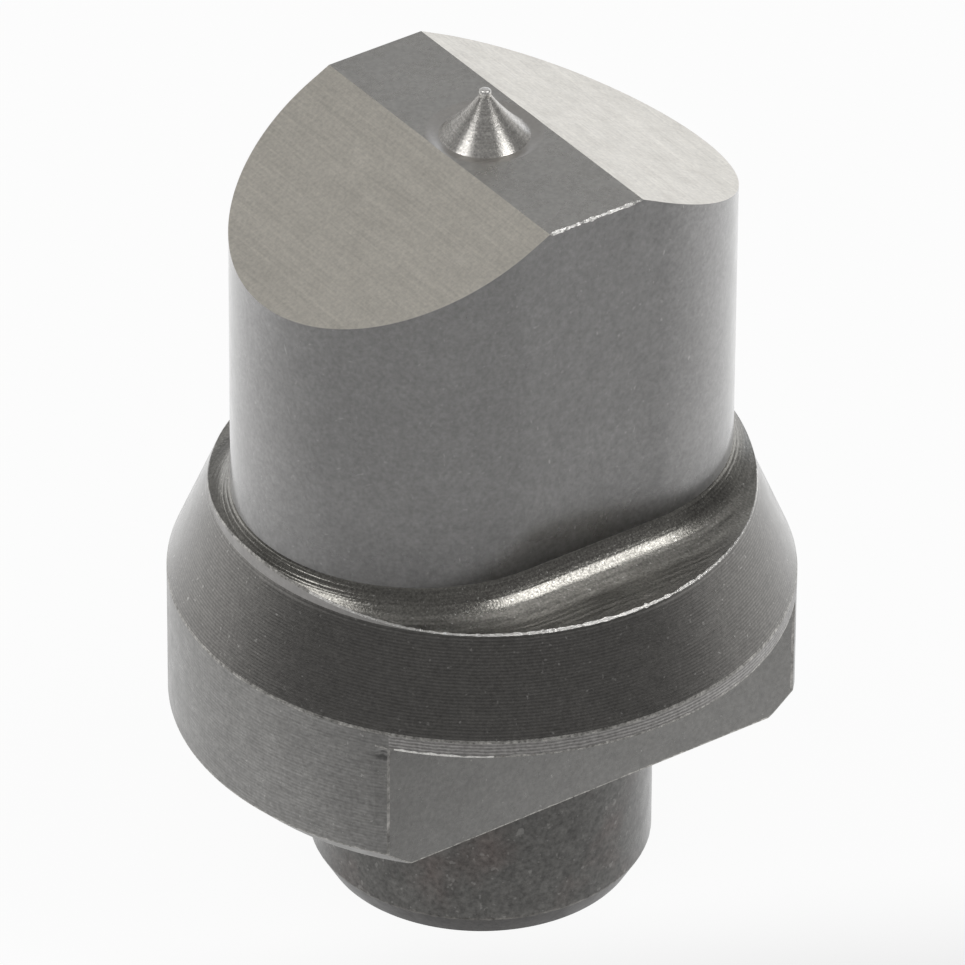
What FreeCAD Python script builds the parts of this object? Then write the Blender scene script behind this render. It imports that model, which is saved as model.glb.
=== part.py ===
import FreeCAD, Part
import math
import os

# Oval punch for the ram of an ironworker: one piece of hardened tool steel, turned and then milled.
# The origin is the centre of the stub's end and +Z runs up the axis to the working face.
# The long axis of the oval lies along X, and the key flat of the head faces -Y.

# Stub: the spigot under the head that centres the punch in the ram
stub_diameter = 22.0
stub_length = 11.0
stub_lead_height = 1.6
stub_lead_angle = 30.0

# Head: the full-diameter seat that takes the punching load
head_diameter = 40.0
head_height = 10.7
head_chamfer = 1.5

# Key flat: milled into one side of the head, up to a thin lip that keeps the full diameter
key_flat_distance = 12.15
key_lip_height = 1.1
key_corner_width = 0.8
key_corner_turn = 6.0

# Cone seat: the coupling nut pulls down on it
cone_height = 6.0
shank_diameter = 35.0

# Oval point: straight sides with a half round at each end
point_length = 33.5
point_width = 23.8
point_height = 25.9

# Cove: milled round the foot of the oval, down to a level floor just above the cone
cove_radius = 3.3
cove_height = 1.7
shank_land = 0.3

# Roof shear: both ends of the working face slope away from a flat strip across the middle
strip_width = 7.0
roof_angle = 26.3

# Centring teat on the strip, with a shallow turned ring round its foot
teat_diameter = 5.7
teat_height = 3.1
teat_flank_hollow = 0.12
ring_diameter = 7.4
ring_depth = 0.16
ring_fullness = 0.85
nub_diameter = 0.78
nub_height = 0.45
nub_round = 0.2

# How far a cutter runs past the metal that it removes
overrun = 5.0

# Heights above the end of the stub
head_seat_z = stub_length
rim_z = head_seat_z + head_height
lip_underside_z = rim_z - key_lip_height
cone_top_z = rim_z + cone_height
cove_floor_z = cone_top_z + shank_land
strip_z = cove_floor_z + point_height
tip_z = strip_z + teat_height


def vector_at(point):
    """The place of a profile point (radius, height) in the XZ plane."""
    radius, height = point
    return FreeCAD.Vector(radius, 0, height)


def line(start, end):
    """A straight edge between two profile points."""
    return Part.makeLine(vector_at(start), vector_at(end))


def arc(start, through, end):
    """A circular edge through three profile points."""
    return Part.Arc(vector_at(start), vector_at(through), vector_at(end)).toShape()


def chain(points):
    """Straight edges that join the profile points in order."""
    return [line(start, end) for start, end in zip(points, points[1:])]


def head_outline():
    """Stub, head, cone seat and round shank, from the axis at the stub's end to the strip's level."""
    stub_radius = stub_diameter / 2
    head_radius = head_diameter / 2
    shank_radius = shank_diameter / 2
    stub_lead = stub_lead_height * math.tan(math.radians(stub_lead_angle))
    return chain([
        (0, 0),
        (stub_radius - stub_lead, 0),
        (stub_radius, stub_lead_height),
        (stub_radius, head_seat_z),
        (head_radius - head_chamfer, head_seat_z),
        (head_radius, head_seat_z + head_chamfer),
        (head_radius, rim_z),
        (shank_radius, cone_top_z),
        (shank_radius, strip_z),
        (ring_diameter / 2, strip_z),
    ])


def teat_outline():
    """Turned ring, hollow flank and round-topped nub, from the strip back to the axis."""
    ring_edge = (ring_diameter / 2, strip_z)
    foot = (teat_diameter / 2, strip_z - ring_depth)
    ring_middle = ((ring_edge[0] + foot[0]) / 2, strip_z - ring_fullness * ring_depth)
    nub_radius = nub_diameter / 2
    nub_foot = (nub_radius, tip_z - nub_height)
    flank_rise = nub_foot[1] - foot[1]
    flank_run = foot[0] - nub_foot[0]
    flank_length = math.hypot(flank_rise, flank_run)
    flank_middle = (
        (foot[0] + nub_foot[0]) / 2 - teat_flank_hollow * flank_rise / flank_length,
        (foot[1] + nub_foot[1]) / 2 - teat_flank_hollow * flank_run / flank_length,
    )
    shoulder = (nub_radius, tip_z - nub_round)
    crown = (nub_radius - nub_round, tip_z)
    diagonal = nub_round * math.cos(math.radians(45))
    round_middle = (crown[0] + diagonal, shoulder[1] + diagonal)
    return [
        arc(ring_edge, ring_middle, foot),
        arc(foot, flank_middle, nub_foot),
        line(nub_foot, shoulder),
        arc(shoulder, round_middle, crown),
        line(crown, (0, tip_z)),
        line((0, tip_z), (0, 0)),
    ]


def turned_blank():
    """The lathe's work: everything round about the axis, with the point still a full cylinder."""
    face = Part.Face(Part.Wire(head_outline() + teat_outline()))
    return face.revolve(FreeCAD.Vector(0, 0, 0), FreeCAD.Vector(0, 0, 1), 360)


def oval_face(length, width, z):
    """A flat oval at height z: two straight sides joined by half circles, long axis along X."""
    radius = width / 2
    reach = length / 2 - radius
    right_low = FreeCAD.Vector(reach, -radius, z)
    right_high = FreeCAD.Vector(reach, radius, z)
    left_high = FreeCAD.Vector(-reach, radius, z)
    left_low = FreeCAD.Vector(-reach, -radius, z)
    edges = [
        Part.makeLine(left_low, right_low),
        Part.Arc(right_low, FreeCAD.Vector(length / 2, 0, z), right_high).toShape(),
        Part.makeLine(right_high, left_high),
        Part.Arc(left_high, FreeCAD.Vector(-length / 2, 0, z), left_low).toShape(),
    ]
    return Part.Face(Part.Wire(edges))


def cove_reach():
    """How far out from the wall the cove's arc meets its level floor."""
    return math.sqrt(cove_radius ** 2 - (cove_radius - cove_height) ** 2)


def cove_section(wall):
    """The metal that the cove leaves against a wall that stands at x = wall, as a face in the XZ plane."""
    reach = cove_reach()
    centre_z = cove_floor_z + cove_radius
    wall_turn = math.atan2(reach, cove_radius - cove_height)
    half_way = (
        wall + reach - cove_radius * math.sin(wall_turn / 2),
        centre_z - cove_radius * math.cos(wall_turn / 2),
    )
    top = (wall, cove_floor_z + cove_height)
    toe = (wall + reach, cove_floor_z)
    inner_top = (wall / 2, top[1])
    inner_toe = (wall / 2, cove_floor_z - overrun)
    outer_toe = (toe[0], cove_floor_z - overrun)
    edges = [arc(top, half_way, toe)] + chain([toe, outer_toe, inner_toe, inner_top, top])
    return Part.Face(Part.Wire(edges))


def cove_round(side):
    """The cove round one half-round end of the oval, side 1 or -1 along X."""
    section = cove_section(point_width / 2)
    centre = FreeCAD.Vector(0, 0, 0)
    ring = section.revolve(centre, FreeCAD.Vector(0, 0, 1), 360)
    ring.translate(FreeCAD.Vector(side * (point_length - point_width) / 2, 0, 0))
    return ring


def cove_straight(side):
    """The cove along one straight side of the oval, side 1 or -1 along Y."""
    straight = point_length - point_width
    section = cove_section(point_width / 2)
    section.rotate(FreeCAD.Vector(0, 0, 0), FreeCAD.Vector(0, 0, 1), side * 90)
    section.translate(FreeCAD.Vector(-straight / 2, 0, 0))
    return section.extrude(FreeCAD.Vector(straight, 0, 0))


def milled_envelope():
    """What the cutter leaves as it runs round the oval: prism, cove and the uncut metal below its floor."""
    prism = oval_face(point_length, point_width, cove_floor_z)
    prism = prism.extrude(FreeCAD.Vector(0, 0, tip_z + overrun - cove_floor_z))
    bed_radius = max(head_diameter, shank_diameter, point_length) / 2 + overrun
    bed = Part.makeCylinder(bed_radius, cove_floor_z + overrun, FreeCAD.Vector(0, 0, -overrun))
    coves = [cove_round(side) for side in (1, -1)] + [cove_straight(side) for side in (1, -1)]
    return bed.fuse([prism] + coves).removeSplitter()


def roof_waste(side):
    """The wedge that the roof shear removes from one end of the working face, side 1 or -1 along X."""
    inner = strip_width / 2
    outer = point_length / 2 + overrun
    drop = (outer - inner) * math.tan(math.radians(roof_angle))
    above = tip_z + overrun
    corners = [(inner, strip_z), (outer, strip_z - drop), (outer, above), (inner, above), (inner, strip_z)]
    depth = point_width / 2 + overrun
    wire = Part.makePolygon([FreeCAD.Vector(side * x, -depth, z) for x, z in corners])
    return Part.Face(wire).extrude(FreeCAD.Vector(0, 2 * depth, 0))


def key_waste():
    """The slab that the key flat removes from the head, from under the head up to the lip."""
    width = head_diameter + 2 * overrun
    depth = head_diameter / 2 - key_flat_distance + overrun
    height = lip_underside_z - head_seat_z + overrun
    corner = FreeCAD.Vector(-width / 2, -key_flat_distance - depth, lip_underside_z - height)
    slab = Part.makeBox(width, depth, height, corner)
    stub_guard = Part.makeCylinder(stub_diameter / 2, head_seat_z)
    return slab.cut(stub_guard)


def key_corner_waste(side):
    """The facet ground on the sharp corner between the key flat and the round head, side 1 or -1 along X."""
    head_radius = head_diameter / 2
    half_flat = math.sqrt(head_radius ** 2 - key_flat_distance ** 2)
    corner_turn = math.degrees(math.asin(half_flat / head_radius))
    facet_turn = corner_turn - key_corner_turn
    facet_depth = key_corner_width * math.sin(math.radians(key_corner_turn))
    height = lip_underside_z - head_seat_z
    block = Part.makeBox(2 * overrun, overrun, height, FreeCAD.Vector(-overrun, facet_depth - overrun, 0))
    block.rotate(FreeCAD.Vector(0, 0, 0), FreeCAD.Vector(0, 0, 1), side * facet_turn)
    block.translate(FreeCAD.Vector(side * half_flat, -key_flat_distance, head_seat_z))
    return block


def oval_punch():
    """The whole punch, in the order it is made: turning, oval, roof shear, key flat and its corners."""
    punch = turned_blank().common(milled_envelope())
    for side in (1, -1):
        punch = punch.cut(roof_waste(side))
    punch = punch.cut(key_waste())
    for side in (1, -1):
        punch = punch.cut(key_corner_waste(side))
    return punch.removeSplitter()


os.makedirs("parts", exist_ok=True)
finished_punch = oval_punch()
print("oval_punch: solids", len(finished_punch.Solids), "valid", finished_punch.isValid())
print("volume", round(finished_punch.Volume, 1), "box", finished_punch.optimalBoundingBox())
finished_punch.Solids[0].exportStep("parts/oval_punch.step")
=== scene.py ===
"""Studio scene of an oval punch: one piece of hardened tool steel, dressed surface by surface."""

import logging
import math
from dataclasses import dataclass, field
from enum import Enum
from typing import ClassVar

import bpy
from mathutils import Matrix, Vector, noise

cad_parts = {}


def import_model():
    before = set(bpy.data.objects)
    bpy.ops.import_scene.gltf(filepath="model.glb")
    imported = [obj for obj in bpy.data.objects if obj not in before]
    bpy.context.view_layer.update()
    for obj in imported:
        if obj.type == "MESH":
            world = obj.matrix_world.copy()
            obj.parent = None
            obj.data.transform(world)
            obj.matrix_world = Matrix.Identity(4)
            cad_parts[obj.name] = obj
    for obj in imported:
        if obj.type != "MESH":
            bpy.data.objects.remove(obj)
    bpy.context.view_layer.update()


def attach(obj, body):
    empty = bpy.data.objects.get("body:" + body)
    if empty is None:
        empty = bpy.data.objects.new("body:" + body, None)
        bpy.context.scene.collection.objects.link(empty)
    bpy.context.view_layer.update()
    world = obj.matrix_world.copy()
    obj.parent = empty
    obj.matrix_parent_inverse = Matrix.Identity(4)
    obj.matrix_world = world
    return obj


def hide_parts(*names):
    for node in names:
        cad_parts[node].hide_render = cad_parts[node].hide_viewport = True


log = logging.getLogger("oval_punch")

MM = 0.001

Point = tuple[float, float, float]
Colour = tuple[float, float, float, float]
Row = tuple[float, float]
Source = bpy.types.NodeSocket | bpy.types.Node

# Shifts that keep the patterns of one finish apart: the first one of each use, and the step to the next
MOTTLE_SHIFT, MOTTLE_STEP = 3.0, 11.0
RELIEF_SHIFT, RELIEF_STEP = 19.0, 5.0
MARKS_SHIFT, MARKS_STEP = 53.0, 7.0
ROUGHNESS_SHIFT = 37.0
TINT_SHIFT = 71.0

# Blender's noise texture lies near this middle, with this spread
NOISE_MIDDLE = 0.5
NOISE_SPREAD = 0.08

# The film of oil on a surface is smoother than the steel under it
OIL_ROUGHNESS = 0.16

# Blender's point noise seldom passes 0.6, and this brings it to about -1 to 1
NOISE_GAIN = 1.6

# A length far below any edge of the mesh, for telling places apart
HAIR = 1e-7


class Surface(Enum):
    """The surfaces of the punch, each with the finish that its tool left."""

    STUB_END = "stub_end"
    STUB_LEAD = "stub_lead"
    STUB = "stub"
    STUB_EDGE = "stub_edge"
    SEAT = "seat"
    HEAD_CHAMFER = "head_chamfer"
    HEAD = "head"
    CORNER = "corner"
    CORNER_EDGE = "corner_edge"
    KEY_FLAT = "key_flat"
    LIP = "lip"
    CONE = "cone"
    LAND = "land"
    COVE = "cove"
    NUB = "nub"
    WALL = "wall"
    ROOF = "roof"
    STRIP = "strip"
    RING = "ring"
    TEAT = "teat"
    EDGE = "edge"
    WORN_EDGE = "worn_edge"


Band = tuple[Surface, list[Row]]


def linear(colour: str) -> Colour:
    """Turn an sRGB hex colour into Blender's linear colour.

    Args:
        colour: Six hex digits with or without a leading hash.

    Returns:
        Linear red, green and blue, with an alpha of 1.
    """
    digits = colour.lstrip("#")
    shares = [int(digits[i:i + 2], 16) / 255 for i in (0, 2, 4)]
    red, green, blue = [c / 12.92 if c <= 0.04045 else ((c + 0.055) / 1.055) ** 2.4 for c in shares]
    return red, green, blue, 1.0


def towards(azimuth: float, elevation: float = 0.0) -> Point:
    """Give the unit direction at an azimuth from +X, counter-clockwise, and an elevation, in degrees."""
    a, e = math.radians(azimuth), math.radians(elevation)
    return math.cos(a) * math.cos(e), math.sin(a) * math.cos(e), math.sin(e)


def add_node(
    tree: bpy.types.NodeTree,
    kind: str,
    settings: dict[str, object] | None = None,
    inputs: dict[str | int, object] | None = None,
) -> bpy.types.Node:
    """Add a node, set its properties, and fill or link its inputs.

    Args:
        tree: The node tree that gets the node.
        kind: The node's type name, such as ShaderNodeMath.
        settings: Properties of the node, by name.
        inputs: What its inputs get, by name or number: a value, an output socket, or a node, which stands
            for the first of its outputs that is in use.

    Returns:
        The new node.
    """
    node = tree.nodes.new(kind)
    for name, value in (settings or {}).items():
        setattr(node, name, value)
    for name, value in (inputs or {}).items():
        socket = node.inputs[name]
        if isinstance(value, bpy.types.Node):
            value = next(output for output in value.outputs if output.enabled)
        if isinstance(value, bpy.types.NodeSocket):
            tree.links.new(value, socket)
        else:
            # A colour that goes to a vector input leaves its alpha behind
            socket.default_value = value[:3] if socket.type == "VECTOR" else value
    return node


class Pattern:
    """A pattern over the steel that can vary a level by its share. Its waves run from about low to high."""

    share: float
    low: ClassVar[float] = 0.0
    high: ClassVar[float] = 1.0

    def waves(self, tree: bpy.types.NodeTree, place_mm: Source, shift: float) -> Source:
        """Make the plain waves of the pattern, which each kind of pattern does in its own way.

        Args:
            tree: The material's node tree.
            place_mm: The point on the punch in millimetres.
            shift: A shift that sets this pattern apart from the others.

        Returns:
            What carries the waves.
        """
        raise NotImplementedError

    def factor(self, tree: bpy.types.NodeTree, place_mm: Source, shift: float) -> Source:
        """Make a factor that goes from 1 - share to 1 + share with the waves.

        Args:
            tree: The material's node tree.
            place_mm: The point on the punch in millimetres.
            shift: A shift that sets this pattern apart from the others.

        Returns:
            What carries the factor.
        """
        return add_node(
            tree,
            "ShaderNodeMapRange",
            inputs={
                "Value": self.waves(tree, place_mm, shift),
                "From Min": self.low,
                "From Max": self.high,
                "To Min": 1.0 - self.share,
                "To Max": 1.0 + self.share,
            },
        )


@dataclass(frozen=True)
class Mottle(Pattern):
    """Soft light and dark patches, such as heat treatment and oil leave on steel.

    Small ones are grain. The stretch is how much faster the patches change along each axis.
    """

    size_mm: float
    share: float
    stretch: Point = (1.0, 1.0, 1.0)
    low: ClassVar[float] = 0.25
    high: ClassVar[float] = 0.75

    def waves(self, tree: bpy.types.NodeTree, place_mm: Source, shift: float) -> Source:
        """Make noise with patches of the size.

        Args:
            tree: The material's node tree.
            place_mm: The point on the punch in millimetres.
            shift: A shift that sets this pattern apart from the others.

        Returns:
            What carries the noise.
        """
        place = add_node(
            tree,
            "ShaderNodeMapping",
            inputs={
                "Vector": place_mm,
                "Scale": [stretch / self.size_mm for stretch in self.stretch],
                "Location": (shift, shift, shift),
            },
        )
        return add_node(
            tree,
            "ShaderNodeTexNoise",
            inputs={"Vector": place, "Scale": 1.0, "Detail": 3.0, "Roughness": 0.6},
        )


@dataclass(frozen=True)
class FeedLines(Pattern):
    """Even lines round the axis, one for each turn of the lathe."""

    pitch_mm: float
    share: float = 0.0
    unevenness: float = 1.5

    def waves(self, tree: bpy.types.NodeTree, place_mm: Source, shift: float) -> Source:
        """Make lines across the axis.

        Args:
            tree: The material's node tree.
            place_mm: The point on the punch in millimetres.
            shift: A shift of the lines along the axis.

        Returns:
            What carries the lines.
        """
        # The wave node repeats every pi / 10 units at a scale of 1
        lines = add_node(
            tree,
            "ShaderNodeTexWave",
            {"wave_type": "BANDS", "bands_direction": "Z", "wave_profile": "SIN"},
            {
                "Vector": place_mm,
                "Scale": math.pi / 10 / self.pitch_mm,
                "Distortion": self.unevenness,
                "Detail": 2.0,
                "Detail Scale": 0.6,
                "Phase Offset": shift,
            },
        )
        return lines.outputs[1]


@dataclass(frozen=True)
class Marks:
    """Small bright marks where a surface's film is broken: grains, or scratches where they are stretched.

    The stretch is how much faster the marks change along each axis, after a turn in degrees about each axis.
    """

    size_mm: float
    share: float
    strength: float
    stretch: Point = (1.0, 1.0, 1.0)
    turn: Point = (0.0, 0.0, 0.0)
    colour: str = "#E8E6E2"
    softness: ClassVar[float] = 0.05

    def mask(self, tree: bpy.types.NodeTree, place_mm: Source, shift: float) -> Source:
        """Make a mask of scattered marks.

        Args:
            tree: The material's node tree.
            place_mm: The point on the punch in millimetres.
            shift: A shift that sets these marks apart from the others.

        Returns:
            What carries 0 between the marks and the strength on them.
        """
        turned = add_node(
            tree,
            "ShaderNodeMapping",
            inputs={
                "Vector": place_mm,
                "Rotation": [math.radians(turn) for turn in self.turn],
                "Location": (shift, shift, shift),
            },
        )
        place = add_node(
            tree,
            "ShaderNodeMapping",
            inputs={"Vector": turned, "Scale": [stretch / self.size_mm for stretch in self.stretch]},
        )
        waves = add_node(
            tree,
            "ShaderNodeTexNoise",
            inputs={"Vector": place, "Scale": 1.0, "Detail": 1.5, "Roughness": 0.5},
        )
        # The smaller the share of the surface that has marks, the further above its middle the noise is cut
        start = NOISE_MIDDLE + NOISE_SPREAD * math.sqrt(-2.0 * math.log(2.0 * self.share))
        return add_node(
            tree,
            "ShaderNodeMapRange",
            {"interpolation_type": "SMOOTHSTEP"},
            {"Value": waves, "From Min": start, "From Max": start + self.softness, "To Max": self.strength},
        )


@dataclass(frozen=True)
class ByHeight:
    """A level of its own at the foot of a surface, up to the low height, which is gone at the high one."""

    low_mm: float
    high_mm: float
    level: float

    def fade(self, tree: bpy.types.NodeTree, place_mm: Source, above: float) -> Source:
        """Make the level at each height.

        Args:
            tree: The material's node tree.
            place_mm: The point on the punch in millimetres.
            above: The level above the high height.

        Returns:
            What carries the level.
        """
        return add_node(
            tree,
            "ShaderNodeMapRange",
            {"interpolation_type": "SMOOTHSTEP"},
            {
                "Value": add_node(tree, "ShaderNodeSeparateXYZ", inputs={0: place_mm}).outputs["Z"],
                "From Min": self.low_mm,
                "From Max": self.high_mm,
                "To Min": self.level,
                "To Max": above,
            },
        )


@dataclass(frozen=True)
class SteelFinish:
    """Bare tool steel as one tool left it.

    The colour is the steel's own under white light, but for the finishes that hold painted shade. A tint shows
    in patches, mottles multiply the colour, a foot level multiplies it below a height, which is painted shade
    at the oval wall's foot and a paler floor in the cove, and marks lighten it. The relief layers tilt the
    surface by a bump in millimetres. The coat is a thin film of oil, the anisotropy draws highlights out across
    turning lines, and a dull foot has its own roughness below a height.
    """

    name: str
    colour: str
    roughness: float
    mottles: tuple[Pattern, ...] = ()
    relief: tuple[tuple[Pattern, float], ...] = ()
    marks: tuple[Marks, ...] = ()
    tint: str | None = None
    # Painted shade at the oval wall's foot; in the cove, a paler floor
    foot_tone_and_painted_shade: ByHeight | None = None
    dull_foot: ByHeight | None = None
    coat: float = 0.0
    anisotropy: float = 0.0
    roughness_spread: ClassVar[float] = 0.06
    roughness_patch_mm: ClassVar[float] = 1.4
    tint_patches: ClassVar[Mottle] = Mottle(5.0, 1.0)
    tint_range: ClassVar[Row] = (1.1, 2.0)
    tint_share: ClassVar[float] = 0.35

    def material(self) -> bpy.types.Material:
        """Build the node material.

        Returns:
            The material, ready for a mesh's slot.
        """
        made = bpy.data.materials.new(self.name)
        made.use_nodes = True
        tree = made.node_tree
        tree.nodes.clear()
        place = add_node(tree, "ShaderNodeTexCoord").outputs["Object"]
        place_mm = add_node(
            tree, "ShaderNodeVectorMath", {"operation": "SCALE"}, {0: place, "Scale": 1.0 / MM}
        )
        inputs: dict[str | int, object] = {
            "Base Color": self.tone(tree, place_mm),
            "Metallic": 1.0,
            "Roughness": self.dullness(tree, place_mm),
            "Coat Weight": self.coat,
            "Coat Roughness": OIL_ROUGHNESS,
        }
        if self.anisotropy:
            # A quarter of a turn: the highlights run across the turning lines
            inputs["Anisotropic"] = self.anisotropy
            inputs["Anisotropic Rotation"] = 0.25
            inputs["Tangent"] = add_node(tree, "ShaderNodeTangent", {"direction_type": "RADIAL", "axis": "Z"})
        if self.relief:
            inputs["Normal"] = self.tilt(tree, place_mm)
        steel = add_node(tree, "ShaderNodeBsdfPrincipled", inputs=inputs)
        add_node(tree, "ShaderNodeOutputMaterial", inputs={"Surface": steel})
        return made

    def tone(self, tree: bpy.types.NodeTree, place_mm: Source) -> Source:
        """Tint the steel's colour, multiply it by its mottles and its foot level, which is painted shade on the
        oval wall, and lighten its marks.

        Args:
            tree: The material's node tree.
            place_mm: The point on the punch in millimetres.

        Returns:
            What carries the colour.
        """
        colour: object = linear(self.colour)
        if self.tint:
            start, end = self.tint_range
            amount = add_node(
                tree,
                "ShaderNodeMapRange",
                inputs={
                    "Value": self.tint_patches.factor(tree, place_mm, TINT_SHIFT),
                    "From Min": start,
                    "From Max": end,
                    "To Max": self.tint_share,
                },
            )
            colour = add_node(
                tree,
                "ShaderNodeMix",
                {"data_type": "RGBA"},
                {"Factor": amount, 6: colour, 7: linear(self.tint)},
            )
        factors = [
            mottle.factor(tree, place_mm, MOTTLE_STEP * number + MOTTLE_SHIFT)
            for number, mottle in enumerate(self.mottles)
        ]
        # The foot level: painted shade at the oval wall's foot, a paler floor in the cove
        if self.foot_tone_and_painted_shade:
            factors.append(self.foot_tone_and_painted_shade.fade(tree, place_mm, 1.0))
        for factor in factors:
            colour = add_node(
                tree, "ShaderNodeVectorMath", {"operation": "SCALE"}, {0: colour, "Scale": factor}
            )
        for number, marks in enumerate(self.marks):
            mask = marks.mask(tree, place_mm, MARKS_STEP * number + MARKS_SHIFT)
            colour = add_node(
                tree,
                "ShaderNodeMix",
                {"data_type": "RGBA"},
                {"Factor": mask, 6: colour, 7: linear(marks.colour)},
            )
        return colour

    def dullness(self, tree: bpy.types.NodeTree, place_mm: Source) -> Source:
        """Vary the roughness a little over patches of a millimetre or two.

        Args:
            tree: The material's node tree.
            place_mm: The point on the punch in millimetres.

        Returns:
            What carries the roughness.
        """
        patches = Mottle(self.roughness_patch_mm, self.roughness_spread / self.roughness)
        level: object = self.roughness
        if self.dull_foot:
            level = self.dull_foot.fade(tree, place_mm, self.roughness)
        return add_node(
            tree,
            "ShaderNodeMath",
            {"operation": "MULTIPLY"},
            {0: patches.factor(tree, place_mm, ROUGHNESS_SHIFT), 1: level},
        )

    def tilt(self, tree: bpy.types.NodeTree, place_mm: Source) -> Source:
        """Stack the relief layers, each on the one before.

        Args:
            tree: The material's node tree.
            place_mm: The point on the punch in millimetres.

        Returns:
            What carries the tilted normal.
        """
        below: dict[str | int, object] = {}
        for number, (pattern, depth_mm) in enumerate(self.relief):
            height = pattern.waves(tree, place_mm, RELIEF_STEP * number + RELIEF_SHIFT)
            inputs = {"Height": height, "Strength": 1.0, "Distance": depth_mm * MM}
            below = {"Normal": add_node(tree, "ShaderNodeBump", inputs=inputs | below)}
        return below["Normal"]


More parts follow.
